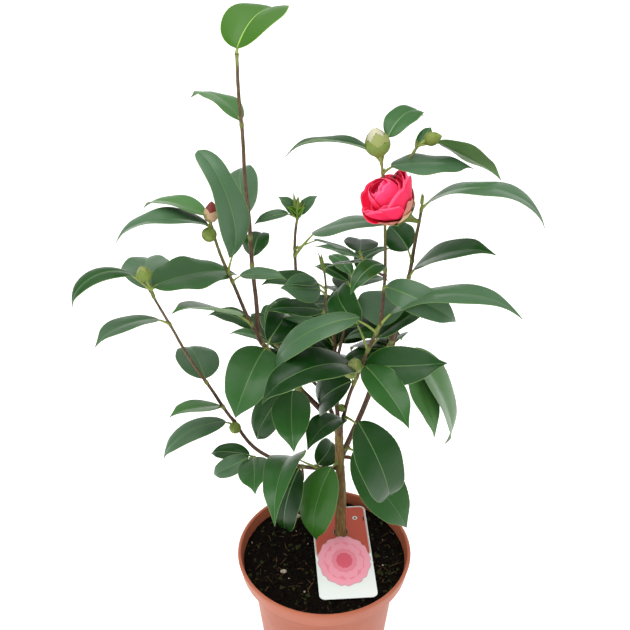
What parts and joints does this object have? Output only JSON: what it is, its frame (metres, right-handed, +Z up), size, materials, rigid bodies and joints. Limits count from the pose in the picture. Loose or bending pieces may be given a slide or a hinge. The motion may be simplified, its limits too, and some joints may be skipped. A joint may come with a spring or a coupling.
{
  "type": "potted camellia shrub",
  "caption": "Young camellia shrub in a round terracotta-coloured plastic nursery pot: upright bare leader, spreading shoots of glossy leaves, a pink flower, buds and a plant label.",
  "frame": {"origin": "centre of the pot's flat underside", "axes": "+Z up along the pot's axis, +X to the side with the flower, +Y away from the side with the label's foot"},
  "size_m": [0.3293, 0.2135, 0.6062],
  "materials": {
    "pot": "smooth moulded terracotta-coloured plastic, faintly mottled",
    "soil": "dark moist potting soil with bark fibres",
    "label": null,
    "trunk_bark": "smooth tan bark with fine lengthwise cracks",
    "shoot_bark": "red-brown young bark, greener towards the tips",
    "leaves": "glossy dark green leaves with pale midrib"
  },
  "bodies": {
    "root": {"pot": "pot", "soil": "soil", "plant_label": "label", "trunk": "trunk_bark", "bough_left": "shoot_bark", "leader": "shoot_bark", "shoot_left": "shoot_bark", "bough_low_left": "shoot_bark", "shoot_low_left": "shoot_bark", "bough_centre": "shoot_bark", "shoot_small": "shoot_bark", "bough_right": "shoot_bark", "shoot_right": "shoot_bark", "bough_front_right": "shoot_bark", "shoot_front_right": "shoot_bark", "twig_top_right": "shoot_bark", "bough_back": "shoot_bark", "shoot_back_left": "shoot_bark", "shoot_back_right": "shoot_bark", "shoot_back_high": "shoot_bark", "leaves_top": "leaves", "leaves_leader": "leaves", "leaves_left_crest": "leaves", "leaves_left_blade": "leaves", "leaves_left_inner": "leaves", "leaves_leader_low": "leaves", "leaves_far_left": "leaves", "leaves_left_outer": "leaves", "leaves_left_mid": "leaves", "leaves_left_low": "leaves", "leaves_foot_left": "leaves", "leaves_fork": "leaves", "leaves_centre_high": "leaves", "leaves_centre": "leaves", "leaves_front_node": "leaves", "leaves_right_upper": "leaves", "leaves_right_shoulder": "leaves", "leaves_arch": "leaves", "leaves_bud_top": "leaves", "leaves_top_right": "leaves", "leaves_front_mid": "leaves", "leaves_right_hanging": "leaves", "leaves_under_fork": "leaves", "leaves_front_low": "leaves", "leaves_foot_front_left": "leaves", "leaves_foot_front": "leaves", "leaves_foot_right": "leaves", "leaves_back": "leaves", "leaves_back_low": "leaves", "leaves_back_left": "leaves", "leaves_back_right": "leaves", "leaves_back_high": "leaves"}
  },
  "joints": []
}
